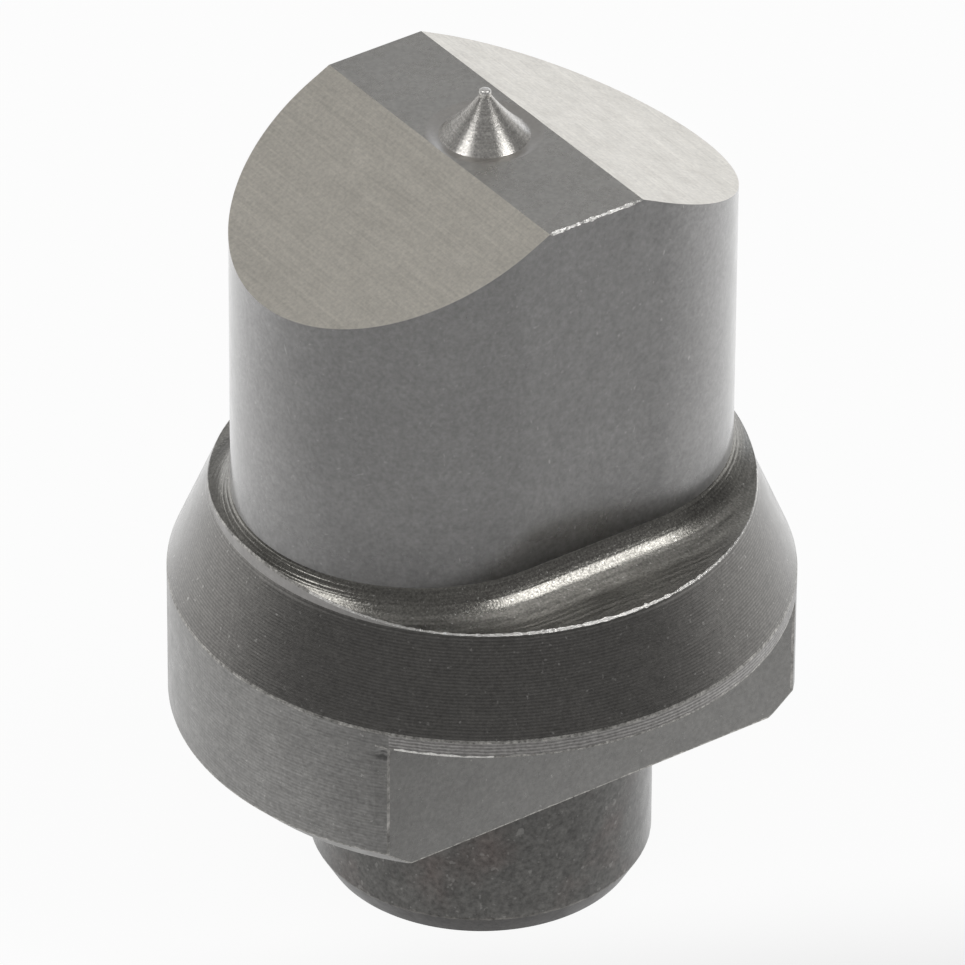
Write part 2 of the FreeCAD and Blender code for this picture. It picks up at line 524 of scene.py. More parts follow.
def finishes() -> dict[Surface, SteelFinish]:
    """List the finish of every surface of the punch.

    Returns:
        The finish by surface.
    """
    # Grit of 0.05 mm is finer than a pixel, so grain is drawn at 0.1 to 0.3 mm to show at all
    round_axis = (0.02, 0.02, 1.0)
    along_y = (1.0, 0.03, 1.0)
    ground_roof = SteelFinish(
        # Fresh off the grinding wheel: pale and warm, with fine lines along the short axis
        "tool_steel_wheel_ground_roof",
        "#DAD5CB",
        0.34,
        mottles=(
            Mottle(0.16, 0.09, along_y),
            Mottle(0.24, 0.13),
            Mottle(0.9, 0.04, along_y),
            Mottle(2.5, 0.03),
        ),
        relief=((Mottle(0.14, 1.0, along_y), 0.003), (Mottle(0.3, 1.0), 0.003)),
    )
    ground_strip = SteelFinish(
        # Faced with the teat: smoother and greyer than the roof
        "tool_steel_faced_strip",
        "#BCBAB6",
        0.28,
        mottles=(Mottle(0.3, 0.13), Mottle(4.0, 0.04)),
    )
    turned_ring = SteelFinish(
        # The shallow ring round the teat's foot: the same cut, a little duller
        "tool_steel_turned_ring",
        "#BDBAB6",
        0.4,
        mottles=(Mottle(0.25, 0.08),),
    )
    oval_wall = SteelFinish(
        # Ground, then darkened by hardening and oil: blue-grey and finely mottled, with painted shade that
        # darkens it towards its foot above the cove, where it is also duller
        "tool_steel_hardened_oval_wall",
        "#8F8E8D",
        0.22,
        coat=0.75,
        mottles=(Mottle(0.28, 0.18), Mottle(0.8, 0.08), Mottle(3.0, 0.05)),
        relief=((Mottle(0.3, 1.0), 0.003),),
        marks=(
            Marks(0.35, 0.012, 0.15),
            Marks(0.25, 0.008, 0.25, (1.0, 1.0, 0.06), (20.0, 0.0, 0.0)),
            Marks(0.25, 0.005, 0.2, (0.06, 1.0, 1.0), (0.0, 30.0, 40.0)),
        ),
        # Painted shade: the colour falls to three quarters of itself from 36 mm down to 29 mm, just above the
        # cove
        foot_tone_and_painted_shade=ByHeight(29.0, 36.0, 0.75),
        dull_foot=ByHeight(29.7, 33.0, 0.36),
    )
    milled_cove = SteelFinish(
        # Ball-nosed cutter marks that run round the oval, with a grainy sparkle
        "tool_steel_milled_cove",
        "#878580",
        0.19,
        mottles=(Mottle(0.16, 0.45), Mottle(0.12, 0.3, round_axis)),
        relief=((Mottle(0.16, 1.0), 0.012),),
        marks=(Marks(0.18, 0.05, 0.45),),
        # The end of the cutter leaves the floor duller and paler than the arc
        foot_tone_and_painted_shade=ByHeight(28.01, 28.1, 1.6),
        dull_foot=ByHeight(28.06, 28.6, 0.42),
    )
    turned_land = SteelFinish(
        # Last pass of the lathe on the round shank: plain light grey
        "tool_steel_turned_land",
        "#969492",
        0.32,
        mottles=(Mottle(0.3, 0.1), Mottle(0.12, 0.08, round_axis)),
        relief=((Mottle(0.12, 1.0, round_axis), 0.002),),
    )
    turned_cone = SteelFinish(
        # Feed marks of the lathe stand in the mesh, with oil in them; the colour is darker than the head's as
        # painted shade for the dim room that the cone mirrors
        "tool_steel_turned_cone",
        "#767471",
        0.2,
        coat=0.5,
        mottles=(Mottle(0.22, 0.26), FeedLines(0.1936, 0.22, 1.0), Mottle(1.0, 0.1)),
        relief=((Mottle(0.2, 1.0), 0.004),),
        marks=(Marks(0.3, 0.02, 0.3), Marks(0.2, 0.01, 0.3, (1.0, 1.0, 0.15))),
    )
    turned_head = SteelFinish(
        # Fine turning lines round the head, with a dull handled film
        "tool_steel_turned_head",
        "#838280",
        0.3,
        coat=0.1,
        mottles=(
            Mottle(0.28, 0.22),
            Mottle(0.17, 0.17, (0.12, 0.12, 1.0)),
            FeedLines(0.24, 0.07, 3.0),
            Mottle(1.5, 0.08),
        ),
        relief=((Mottle(0.17, 1.0, (0.05, 0.05, 1.0)), 0.008), (Mottle(0.25, 1.0), 0.008)),
        marks=(Marks(0.28, 0.02, 0.2),),
    )
    turned_chamfer = SteelFinish(
        # The head's lower chamfer: darker, since no hand or cutter has rubbed it
        "tool_steel_turned_chamfer",
        "#6C6A67",
        0.36,
        mottles=(Mottle(0.28, 0.25), Mottle(1.5, 0.1)),
        relief=((Mottle(0.25, 1.0), 0.008),),
    )
    turned_lip = SteelFinish(
        # The lip keeps three coarser turning lines that the flat's cutter missed
        "tool_steel_turned_lip",
        "#949290",
        0.3,
        mottles=(FeedLines(0.24, 0.2, 2.0), Mottle(0.25, 0.3)),
        relief=((FeedLines(0.24, unevenness=2.0), 0.015), (Mottle(0.2, 1.0), 0.008)),
    )
    milled_flat = SteelFinish(
        # Side-milled flat: even dark grey
        "tool_steel_milled_key_flat",
        "#7A7977",
        0.26,
        coat=0.4,
        mottles=(Mottle(0.28, 0.16), Mottle(2.0, 0.05)),
        relief=((Mottle(0.25, 1.0), 0.004),),
        marks=(Marks(0.25, 0.006, 0.2),),
    )
    stub_skin_and_painted_shade = SteelFinish(
        # Turned and hardened, with the dark heat-treatment skin left on and a breath of rust; its colour is
        # darker still as painted shade from the head above it
        "tool_steel_hardened_stub",
        "#565553",
        0.3,
        coat=0.35,
        mottles=(Mottle(0.3, 0.4), Mottle(0.9, 0.22), Mottle(3.0, 0.1)),
        relief=((Mottle(0.28, 1.0), 0.008),),
        marks=(Marks(0.6, 0.05, 0.09), Marks(0.35, 0.03, 0.09)),
        tint="#62534F",
    )
    stub_lead_skin_and_painted_shade = SteelFinish(
        # The lead that guides the stub into the ram: the same skin, with its colour darkened further as painted
        # shade where it faces the ground
        "tool_steel_hardened_stub_lead_painted_shade",
        "#3E3C3B",
        0.34,
        mottles=(Mottle(0.26, 0.3), Mottle(0.9, 0.2)),
        relief=((Mottle(0.28, 1.0), 0.01),),
    )
    stub_edge = SteelFinish(
        # Where the lead meets the stub, rubbed a little brighter by use
        "tool_steel_worn_stub_edge",
        "#62605D",
        0.34,
        mottles=(Mottle(0.3, 0.6), Mottle(1.0, 0.4)),
        relief=((Mottle(0.2, 1.0), 0.01),),
    )
    teat_steel = SteelFinish(
        # Turned with a form tool: bright, with a grainy sparkle
        "tool_steel_turned_teat",
        "#DAD7D2",
        0.27,
        anisotropy=0.95,
        mottles=(Mottle(0.13, 0.35), Mottle(0.1, 0.2, round_axis)),
        relief=((Mottle(0.16, 1.0), 0.007),),
    )
    nub_steel = SteelFinish(
        # The small nub at the top of the teat, rubbed bright
        "tool_steel_worn_nub",
        "#F0EEEA",
        0.34,
        mottles=(Mottle(0.15, 0.2),),
        relief=((Mottle(0.2, 1.0), 0.02),),
    )
    bright_edge = SteelFinish(
        # Broken edges and burrs: bare metal, brighter than the faces beside them
        "tool_steel_burnished_edge",
        "#F0EEEA",
        0.3,
        mottles=(Mottle(0.2, 0.3),),
        relief=((Mottle(0.16, 1.0), 0.06),),
    )
    worn_edge = SteelFinish(
        # Edges that handling has rubbed a little lighter than the faces beside them
        "tool_steel_worn_edge",
        "#A3A19D",
        0.34,
        mottles=(Mottle(0.22, 0.7), Mottle(0.8, 0.3)),
        relief=((Mottle(0.15, 1.0), 0.015),),
    )
    worn_corner = SteelFinish(
        # The upright corner beside the key flat, rubbed in places
        "tool_steel_worn_corner",
        "#8F8D8A",
        0.32,
        mottles=(Mottle(0.3, 0.5), Mottle(1.3, 0.5)),
        relief=((Mottle(0.2, 1.0), 0.02),),
    )
    return {
        Surface.STUB_END: stub_skin_and_painted_shade,
        Surface.STUB_LEAD: stub_lead_skin_and_painted_shade,
        Surface.STUB: stub_skin_and_painted_shade,
        Surface.STUB_EDGE: stub_edge,
        Surface.SEAT: milled_flat,
        Surface.HEAD_CHAMFER: turned_chamfer,
        Surface.HEAD: turned_head,
        Surface.CORNER: turned_head,
        Surface.CORNER_EDGE: worn_corner,
        Surface.KEY_FLAT: milled_flat,
        Surface.LIP: turned_lip,
        Surface.CONE: turned_cone,
        Surface.LAND: turned_land,
        Surface.COVE: milled_cove,
        Surface.WALL: oval_wall,
        Surface.ROOF: ground_roof,
        Surface.STRIP: ground_strip,
        Surface.RING: turned_ring,
        Surface.TEAT: teat_steel,
        Surface.NUB: nub_steel,
        Surface.EDGE: bright_edge,
        Surface.WORN_EDGE: worn_edge,
    }


class Skin:
    """A welded mesh that grows point by point and face by face, in millimetres."""

    def __init__(self) -> None:
        """Start with no points and no faces."""
        self.points: list[Point] = []
        self.numbers: dict[tuple[int, int, int], int] = {}
        self.faces: list[list[int]] = []
        self.surfaces: list[Surface] = []

    def point(self, place: Point) -> int:
        """Give the number of the point at a place, new or already there.

        Args:
            place: The place in millimetres.

        Returns:
            The point's number.
        """
        key = (round(place[0] * 1e5), round(place[1] * 1e5), round(place[2] * 1e5))
        if key not in self.numbers:
            self.numbers[key] = len(self.points)
            self.points.append(place)
        return self.numbers[key]

    def face(self, places: list[Point], surface: Surface) -> None:
        """Add a face, unless its corners run together.

        Args:
            places: The corners in order, counter-clockwise from outside.
            surface: The surface that the face belongs to.
        """
        ring: list[int] = []
        for place in places:
            number = self.point(place)
            if number not in ring:
                ring.append(number)
        if len(ring) > 2:
            self.faces.append(ring)
            self.surfaces.append(surface)

    def band(self, columns: list[list[Point]], surfaces: list[Surface]) -> None:
        """Add the faces between neighbouring columns of a closed round of columns.

        Args:
            columns: Points from the bottom of the band to its top, one list per column.
            surfaces: The surface between each column and the next.
        """
        for i, left in enumerate(columns):
            right = columns[(i + 1) % len(columns)]
            for k in range(len(left) - 1):
                self.face([left[k], right[k], right[k + 1], left[k + 1]], surfaces[i])

    def mesh_object(self, name: str, materials: dict[Surface, bpy.types.Material]) -> bpy.types.Object:
        """Turn the skin into a Blender object in metres.

        Args:
            name: The piece's name.
            materials: The material of each surface.

        Returns:
            The object, linked to the scene: smooth but for the ground faces, with its sharp edges marked.
        """
        mesh = bpy.data.meshes.new(name)
        mesh.from_pydata([Vector(p) * MM for p in self.points], [], self.faces)
        order: list[bpy.types.Material] = []
        for surface, polygon in zip(self.surfaces, mesh.polygons):
            material = materials[surface]
            if material not in order:
                order.append(material)
                mesh.materials.append(material)
            polygon.material_index = order.index(material)
            polygon.use_smooth = surface not in (Surface.STRIP, Surface.ROOF)
        self.mark_sharp_edges(mesh)
        made = bpy.data.objects.new(name, mesh)
        bpy.context.scene.collection.objects.link(made)
        return made

    def mark_sharp_edges(self, mesh: bpy.types.Mesh) -> None:
        """Mark the edges that turn sharply, those of the ground faces, and those between two surfaces.

        Args:
            mesh: The mesh made from this skin.
        """
        sharp_turn = math.cos(math.radians(35))
        slight_turn = math.cos(math.radians(8))
        sides: dict[tuple[int, int], list[int]] = {}
        for number, polygon in enumerate(mesh.polygons):
            for key in polygon.edge_keys:
                sides.setdefault(key, []).append(number)
        for edge in mesh.edges:
            pair = sides.get(edge.key, [])
            if len(pair) != 2:
                edge.use_edge_sharp = True
                continue
            first, second = pair
            turn = mesh.polygons[first].normal.dot(mesh.polygons[second].normal)
            ground_face = len(mesh.polygons[first].vertices) > 4
            edge.use_edge_sharp = turn < sharp_turn or ground_face
            if self.surfaces[first] != self.surfaces[second]:
                edge.use_edge_sharp = turn < slight_turn


def spread(start: float, end: float, steps: int) -> list[float]:
    """Space values evenly, both ends included.

    Args:
        start: The first value.
        end: The last value.
        steps: The number of steps between them.

    Returns:
        The values, one more than the steps.
    """
    return [start + (end - start) * i / steps for i in range(steps + 1)]


def even_angles(count: int, special: list[float]) -> list[float]:
    """Space angles evenly round the axis, with special ones in place of those close to them.

    Args:
        count: The number of even angles.
        special: The angles that have to be there.

    Returns:
        The angles in order, from 0 to a full turn.
    """
    step = math.tau / count
    special = [angle % math.tau for angle in special]
    even = [i * step for i in range(count)]
    return sorted([a for a in even if all(abs(a - s) > 0.2 * step for s in special)] + special)


def within(share: float) -> float:
    """Keep a share from 0 to 1."""
    return max(0.0, min(1.0, share))


def ripple(waves: tuple[Point, ...], along_mm: float) -> float:
    """Add up sine waves of height, turn per millimetre and shift, as an uneven cutter leaves them."""
    return sum(height * math.sin(turn * along_mm + shift) for height, turn, shift in waves)


@dataclass(frozen=True)
class Ragged:
    """The size of an uneven edge: its middle, and swings of a height, a length in millimetres and a seed."""

    middle: float
    swings: tuple[Point, ...]


@dataclass
class OvalPunch:
    """The whole punch. Sizes are in millimetres and are the ones that the solid has, angles in degrees."""

    stub_radius: float = 11.0
    stub_lead_height: float = 1.6
    stub_lead: float = 1.6 * math.tan(math.radians(30))
    seat_z: float = 11.0
    head_radius: float = 20.0
    head_chamfer: float = 1.5
    rim_z: float = 21.7
    lip_height: float = 1.1
    key_flat: float = 12.15
    key_corner_width: float = 0.8
    key_corner_turn: float = 6.0
    cone_top_z: float = 27.7
    shank_radius: float = 17.5
    cove_floor_z: float = 28.0
    cove_radius: float = 3.3
    cove_height: float = 1.7
    oval_radius: float = 11.9
    oval_reach: float = 4.85
    strip_z: float = 53.9
    strip_half: float = 3.5
    roof_slope: float = math.tan(math.radians(26.3))
    ring_radius: float = 3.7
    ring_depth: float = 0.16
    teat_radius: float = 2.85
    teat_height: float = 3.1
    flank_hollow: float = 0.12
    flank_steps: int = 20
    nub_radius: float = 0.39
    nub_height: float = 0.45
    nub_round: float = 0.2
    # Marks of the lathe: on the cone, in the lip, and how much of the lip's lines the round head has
    feed_pitch: float = 0.21
    feed_depth: float = 0.006
    lip_line_pitch: float = 0.24
    lip_line_depth: float = 0.012
    lip_line_fade: float = 0.1
    lip_line_wear: Ragged = Ragged(1.0, ((0.5, 1.5, 11.0),))
    head_line_share: float = 0.3
    # Worn edges, each as a ragged share of the edge width
    edge_width: float = 0.08
    corner_wear: float = 0.14
    stub_wear: Ragged = Ragged(1.5, ((0.8, 0.6, 9.0),))
    head_wear: Ragged = Ragged(1.0, ((0.5, 0.6, 7.0),))
    rim_wear: Ragged = Ragged(1.0, ((0.5, 0.7, 3.0),))
    lip_wear: Ragged = Ragged(1.7, ((1.0, 0.8, 8.0), (0.8, 0.35, 9.0)))
    lip_wear_angle: float = -132.0
    lip_wear_reach: float = 0.16
    # Burrs: the ragged one at the front of the land, which is quiet elsewhere, and one at the strip's front end
    burr_width: float = 0.28
    burr_edge: Ragged = Ragged(1.0, ((0.55, 0.45, 1.0), (0.4, 0.2, 2.0)))
    burr_angle: float = -98.0
    burr_rise: float = 0.06
    burr_drop: float = 0.25
    burr_crest: float = 0.55
    quiet_burr: float = 0.3
    least_burr: float = 0.1
    bright_burr: float = 0.03
    least_land: float = 0.02
    strip_burr_width: float = 0.2
    strip_burr_edge: Ragged = Ragged(1.0, ((0.5, 0.6, 5.0), (0.5, 0.3, 6.0)))
    # Cutter marks of the cove: a ripple in its floor, scallops up its arc, and fine steps over its rounds
    bed_ripple: float = 0.01
    bed_waves: tuple[Point, ...] = ((1.0, 13.0, 0.0), (0.8, 22.0, 1.0))
    bed_rim: float = 0.5
    bed_fade: float = 0.4
    scallop_depth: float = 0.004
    scallop_waves: tuple[Point, ...] = ((1.0, 20.0, 0.0), (0.7, 33.0, 1.0), (0.5, 9.0, 0.0))
    scallop_wear: Ragged = Ragged(1.0, ((0.4, 2.5, 4.0),))
    scallop_fade: float = 0.15
    step_depth: float = 0.015
    step_pitch: float = 0.36
    step_zone: float = 1.5
    step_start_x: float = 7.0
    step_full_x: float = 11.0
    # The small pit at the top of the left corner facet, in finer rows
    pit_angle: float = -143.3
    pit_z: float = 20.05
    pit_depth: float = 0.3
    pit_width: float = 0.55
    pit_height: float = 0.42
    pit_rows: float = 1.05
    # Rows and columns of the mesh. The wall's even rows start a little above the cove
    wall_start: float = 0.3
    bed_steps: int = 14
    arc_steps: int = 32
    wall_steps: int = 12
    lip_steps: int = 12
    ring_steps: int = 8
    nub_steps: int = 5
    columns: int = 480
    teat_columns: int = 128
    angles: list[float] = field(default_factory=list)

    def __post_init__(self) -> None:
        """Work out the angles of the columns, with one on every upright corner of the punch."""
        corners = [
            (self.oval_reach, self.oval_radius),
            (self.strip_half, self.oval_radius),
            self.facet_end(),
            self.facet_start(),
        ]
        special = [math.atan2(sy * y, sx * x) for x, y in corners for sx in (1, -1) for sy in (1, -1)]
        worn = math.atan2(*reversed(self.facet_end())) + self.corner_wear / self.head_radius
        self.angles = even_angles(self.columns, special + [-worn, worn - math.pi])

    def flat_corner(self, inset: float) -> float:
        """Give half the key flat's width where it meets a circle this much inside the head."""
        return math.sqrt((self.head_radius - inset) ** 2 - self.key_flat ** 2)

    def facet_line(self) -> tuple[float, float, float]:
        """Give the corner facet's line as a unit normal and its distance from the axis.

        Returns:
            The normal's x and its y towards the key flat, both as positive sizes, and the distance.
        """
        corner_turn = math.asin(self.flat_corner(0.0) / self.head_radius)
        turn = corner_turn - math.radians(self.key_corner_turn)
        nx, ny = math.sin(turn), math.cos(turn)
        depth = self.key_corner_width * math.sin(math.radians(self.key_corner_turn))
        return nx, ny, nx * self.flat_corner(0.0) + ny * self.key_flat - depth

    def facet_end(self) -> Row:
        """Give the place where the corner facet meets the key flat."""
        nx, ny, distance = self.facet_line()
        return (distance - ny * self.key_flat) / nx, self.key_flat

    def facet_start(self) -> Row:
        """Give the place where the corner facet meets the round head.

        Returns:
            The place's x and its y towards the key flat, both as positive sizes.
        """
        nx, ny, distance = self.facet_line()
        along = math.sqrt(self.head_radius ** 2 - distance ** 2)
        return distance * nx + along * ny, distance * ny - along * nx

    def head_cut(self, angle: float) -> tuple[float, Surface]:
        """Give the head's radius and surface at an angle round the axis.

        Args:
            angle: The column's angle from +X.

        Returns:
            The radius, and which of head, corner and key flat it lies on.
        """
        x, y = math.cos(angle), math.sin(angle)
        radius, surface = self.head_radius, Surface.HEAD
        if y < 0:
            nx, ny, distance = self.facet_line()
            flat = -self.key_flat / y
            facet = distance / (nx * abs(x) - ny * y)
            if flat < radius:
                radius, surface = flat, Surface.KEY_FLAT
            if facet < radius - HAIR:
                radius, surface = facet, Surface.CORNER
            down = math.atan2(-y, abs(x))
            end = math.atan2(*reversed(self.facet_end()))
            if end < down < end + self.corner_wear / self.head_radius:
                surface = Surface.CORNER_EDGE
        return radius, surface

    def oval_out(self, angle: float, grown: float = 0.0) -> float:
        """Give the radius at an angle of the oval's outline, grown outwards.

        Args:
            angle: The column's angle from +X.
            grown: How far the outline is moved out.

        Returns:
            The distance from the axis.
        """
        x, y = abs(math.cos(angle)), abs(math.sin(angle))
        wide = self.oval_radius + grown
        if y > HAIR and wide / y * x <= self.oval_reach:
            return wide / y
        return self.oval_reach * x + math.sqrt(wide ** 2 - (self.oval_reach * y) ** 2)

    def cove_z(self, gap: float) -> float:
        """Give the cove's height at a distance out from the oval's wall."""
        inward = max(0.0, self.cove_reach() - gap)
        return self.cove_floor_z + self.cove_radius - math.sqrt(self.cove_radius ** 2 - inward ** 2)

    def roof_z(self, x: float) -> float:
        """Give the height of the working face at a distance along the long axis."""
        return self.strip_z - self.roof_slope * max(0.0, abs(x) - self.strip_half)

    def column(self, angle: float, rows: list[Row]) -> list[Point]:
        """Place rows of radius and height at an angle round the axis."""
        x, y = math.cos(angle), math.sin(angle)
        return [(radius * x, radius * y, z) for radius, z in rows]

    def stub_rows(self, angle: float) -> list[Band]:
        """List the bands from the stub's end up to the head's seat.

        Args:
            angle: The column's angle from +X.

        Returns:
            The bands as surface and rows of radius and height, the same number at every angle.
        """
        low = self.stub_radius - self.stub_lead
        cut = self.head_cut(angle)[0]
        inner = self.head_radius - self.head_chamfer
        wear = self.edge_width * self.uneven(angle, self.stub_wear)
        lean = self.stub_lead / self.stub_lead_height
        worn = [
            (self.stub_radius - lean * wear, self.stub_lead_height - wear),
            (self.stub_radius - 0.2 * lean * wear, self.stub_lead_height),
            (self.stub_radius, self.stub_lead_height + 0.7 * wear),
        ]
        return [
            (Surface.STUB_END, [(r, 0.0) for r in spread(0.0, low, 4)]),
            (Surface.STUB_LEAD, [(low, 0.0), worn[0]]),
            (Surface.STUB_EDGE, worn),
            (Surface.STUB, [(self.stub_radius, z) for z in spread(worn[2][1], self.seat_z, 6)]),
            (Surface.SEAT, [(self.stub_radius, self.seat_z), (min(inner, cut), self.seat_z)]),
        ]

    def uneven(self, angle: float, edge: Ragged) -> float:
        """Give an uneven edge's size at an angle round the punch."""
        swings = (height * self.wander(angle, size_mm, seed) for height, size_mm, seed in edge.swings)
        return sum(swings, edge.middle)

    def wander(self, angle: float, size_mm: float, seed: float) -> float:
        """Give smooth noise from about -1 to 1 that changes round the punch over the given size."""
        radius = self.shank_radius / size_mm
        return noise.noise(Vector((radius * math.cos(angle), radius * math.sin(angle), seed))) * NOISE_GAIN

    def head_rows(self, angle: float) -> list[Band]:
        """List the bands of the head, from its bottom chamfer to its rim.

        Args:
            angle: The column's angle from +X.

        Returns:
            The bands as surface and rows of radius and height.
        """
        cut, side = self.head_cut(angle)
        inner = self.head_radius - self.head_chamfer
        chamfer_top = self.seat_z + max(0.0, cut - inner)
        lip_z = self.rim_z - self.lip_height
        rim_edge = self.rim_z - self.edge_width * self.uneven(angle, self.rim_wear)
        lip_edge = lip_z + self.edge_width * max(0.4, self.uneven(angle, self.lip_wear))
        over_flat = side is not Surface.HEAD
        lined = 1.0 if over_flat else self.head_line_share
        lip_heights = spread(lip_edge, rim_edge, self.lip_steps)
        edge_finish = Surface.WORN_EDGE if over_flat else Surface.HEAD
        from_wear = abs(angle - math.radians(self.lip_wear_angle) - math.tau)
        if side is Surface.KEY_FLAT and from_wear < self.lip_wear_reach:
            edge_finish = Surface.EDGE
        rubbed = chamfer_top + self.edge_width * self.uneven(angle, self.head_wear)
        fine_z = lip_z - self.pit_rows
        heights = spread(rubbed, fine_z - self.pit_rows / 7, 4) + spread(fine_z, lip_z, 7)
        return [
            (Surface.HEAD_CHAMFER, [(min(inner, cut), self.seat_z), (cut, chamfer_top)]),
            (Surface.WORN_EDGE, [(cut, chamfer_top), (cut, rubbed)]),
            (side, [(cut - self.pit(angle, z), z) for z in heights]),
            (Surface.KEY_FLAT, [(cut, lip_z), (self.head_radius, lip_z)]),
            (edge_finish, [(self.head_radius, lip_z), (self.head_radius, lip_edge)]),
            (
                Surface.LIP if side is Surface.KEY_FLAT else Surface.HEAD,
                [(self.head_radius - lined * self.lip_line(z - lip_edge, angle), z) for z in lip_heights],
            ),
        ]

    def lip_line(self, along: float, angle: float) -> float:
        """Give the depth of the fine turning lines in the lip, which die out at its edges.

        Args:
            along: The height above the lip's lower edge.
            angle: The column's angle from +X.

        Returns:
            The depth in millimetres.
        """
        fade = self.lip_line_fade
        ends = min(1.0, along / fade) * min(1.0, (self.lip_height - 2 * fade - along) / fade)
        beat = 0.5 - 0.5 * math.cos(math.tau * along / self.lip_line_pitch)
        depth = self.lip_line_depth * self.uneven(angle, self.lip_line_wear)
        return depth * max(0.0, ends) * beat

    def pit(self, angle: float, z: float) -> float:
        """Give the depth of the small pit at the top of the left corner facet.

        Args:
            angle: The column's angle from +X.
            z: The height.

        Returns:
            The depth in millimetres, 0 away from the pit.
        """
        around = (angle - math.radians(self.pit_angle) + math.pi) % math.tau - math.pi
        away = math.hypot(around * self.head_radius / self.pit_width, (z - self.pit_z) / self.pit_height)
        return self.pit_depth * max(0.0, 1.0 - away)

    def cone_rows(self, angle: float) -> list[Band]:
        """List the rim's broken edge and the cone, with the lathe's feed marks cut into it.

        Args:
            angle: The column's angle from +X.

        Returns:
            The bands as surface and rows of radius and height.
        """
        rise = self.cone_top_z - self.rim_z
        run = self.head_radius - self.shank_radius
        slant = math.hypot(rise, run)
        marks = round(slant / self.feed_pitch)
        rim_edge = self.rim_z - self.edge_width * self.uneven(angle, self.rim_wear)
        rows = []
        # Three rows to a mark: one on its crest and two in its floor
        for number in range(2, 3 * marks + 1):
            along = number / (3 * marks)
            worn = 1.0 + 0.3 * self.wander(angle, 2.0, 0.15 * number)
            depth = self.feed_depth * worn * (number % 3 > 0)
            radius = self.head_radius - run * along - depth * rise / slant
            rows.append((radius, self.rim_z + rise * along - depth * run / slant))
        corner = (self.head_radius - 0.01, self.rim_z)
        return [
            (Surface.WORN_EDGE, [(self.head_radius, rim_edge), corner, rows[0]]),
            (Surface.CONE, rows),
        ]

    def shank_rows(self, angle: float) -> list[Band]:
        """List the bands from the cone's top to the working face.

        Args:
            angle: The column's angle from +X.

        Returns:
            The bands as surface and rows of radius and height.
        """
        wall = self.oval_out(angle)
        gap = self.gap_at_shank(angle)
        land_top = self.cove_z(gap)
        front = max(0.0, math.cos(angle - math.radians(self.burr_angle))) ** 4
        ragged = self.quiet_burr + front * (self.uneven(angle, self.burr_edge) - self.quiet_burr)
        ragged = max(self.least_burr, ragged)
        burr = self.burr_width * ragged
        burr_foot = land_top - self.burr_drop * burr
        lean = (self.head_radius - self.shank_radius) / (self.cone_top_z - self.rim_z)
        land_z = min(burr_foot, self.cove_floor_z - self.least_land)
        foot_radius = self.shank_radius - lean * (land_z - self.cone_top_z)
        land_gap = gap - (self.shank_radius - foot_radius)
        burr_gap = land_gap - burr
        crest_gap = land_gap - self.burr_crest * burr
        crest = (self.oval_out(angle, crest_gap), self.cove_z(crest_gap) + self.burr_rise * ragged)
        toe_gap = min(burr_gap, self.cove_reach())
        bed = [
            (self.oval_out(angle, out), self.cove_z(out) + self.bed_lift(angle, out, gap))
            for out in spread(burr_gap, toe_gap, self.bed_steps)
        ]
        turns = spread(self.cove_turn(toe_gap), self.cove_turn(0.0), self.arc_steps)
        arc = [self.cove_row(angle, turn) for turn in turns]
        inward, down = self.strip_burr(angle)
        top = self.roof_z(wall * math.cos(angle))
        wall_foot = self.cove_floor_z + self.cove_height + self.wall_start
        edge = Surface.EDGE if front > self.bright_burr else Surface.WORN_EDGE
        return [
            (Surface.CONE, [(self.shank_radius, self.cone_top_z), (foot_radius, land_z)]),
            (Surface.LAND, [(foot_radius, land_z), (foot_radius, burr_foot)]),
            (edge, [(foot_radius, burr_foot), crest, bed[0]]),
            (Surface.COVE, bed[:-1] + arc[:1]),
            (Surface.COVE, arc),
            (Surface.WALL, [arc[-1]] + [(wall, z) for z in spread(wall_foot, top - down, self.wall_steps)]),
            (Surface.EDGE, [(wall, top - down), (wall - inward, top)]),
        ]

    def cove_reach(self) -> float:
        """Give how far out from the wall the cove's arc meets its level floor."""
        return math.sqrt(self.cove_radius ** 2 - (self.cove_radius - self.cove_height) ** 2)

    def cove_turn(self, gap: float) -> float:
        """Give the arc's normal, as an angle up from level, at a distance out from the wall."""
        return math.acos(min(1.0, max(0.0, self.cove_reach() - gap) / self.cove_radius))

    def bed_lift(self, angle: float, gap: float, rim: float) -> float:
        """Give the small unevenness of the cove's floor, which dies out at its rim and at the arc.

        Args:
            angle: The column's angle from +X.
            gap: The distance out from the oval's wall.
            rim: The distance out to the shank's surface.

        Returns:
            The lift in millimetres.
        """
        from_rim, from_arc = rim - self.bed_rim - gap, gap - self.cove_reach()
        room = within(from_rim / self.bed_fade) * within(from_arc / self.bed_fade)
        lines = ripple(self.bed_waves, gap) + 0.5 * self.wander(angle, 2.0, 5.0 * gap)
        return self.bed_ripple * room * lines

    def cove_row(self, angle: float, turn: float) -> Row:
        """Place a row of the cove's arc, with the cutter's scallops and the fine steps over the rounds.

        Args:
            angle: The column's angle from +X.
            turn: The arc's normal, as an angle up from level.

        Returns:
            The radius and the height of the row.
        """
        top_turn = self.cove_turn(0.0)
        along = (turn - top_turn) * self.cove_radius
        toe = (math.pi / 2 - turn) * self.cove_radius
        fade = min(1.0, along / self.scallop_fade) * min(1.0, toe / self.scallop_fade)
        beat = ripple(self.scallop_waves, along)
        cut = self.scallop_depth * beat * self.uneven(angle, self.scallop_wear)
        x = abs(self.oval_out(angle) * math.cos(angle))
        rounded = within((x - self.step_start_x) / (self.step_full_x - self.step_start_x))
        near_top = max(0.0, 1.0 - along / self.step_zone)
        step = 1.0 if math.sin(math.tau * along / self.step_pitch) > 0.3 else -0.3
        cut += self.step_depth * rounded * near_top * step
        cut *= fade
        gap = self.cove_reach() - self.cove_radius * math.cos(turn)
        height = self.cove_floor_z + self.cove_radius * (1.0 - math.sin(turn))
        return self.oval_out(angle, gap + cut * math.cos(turn)), height + cut * math.sin(turn)

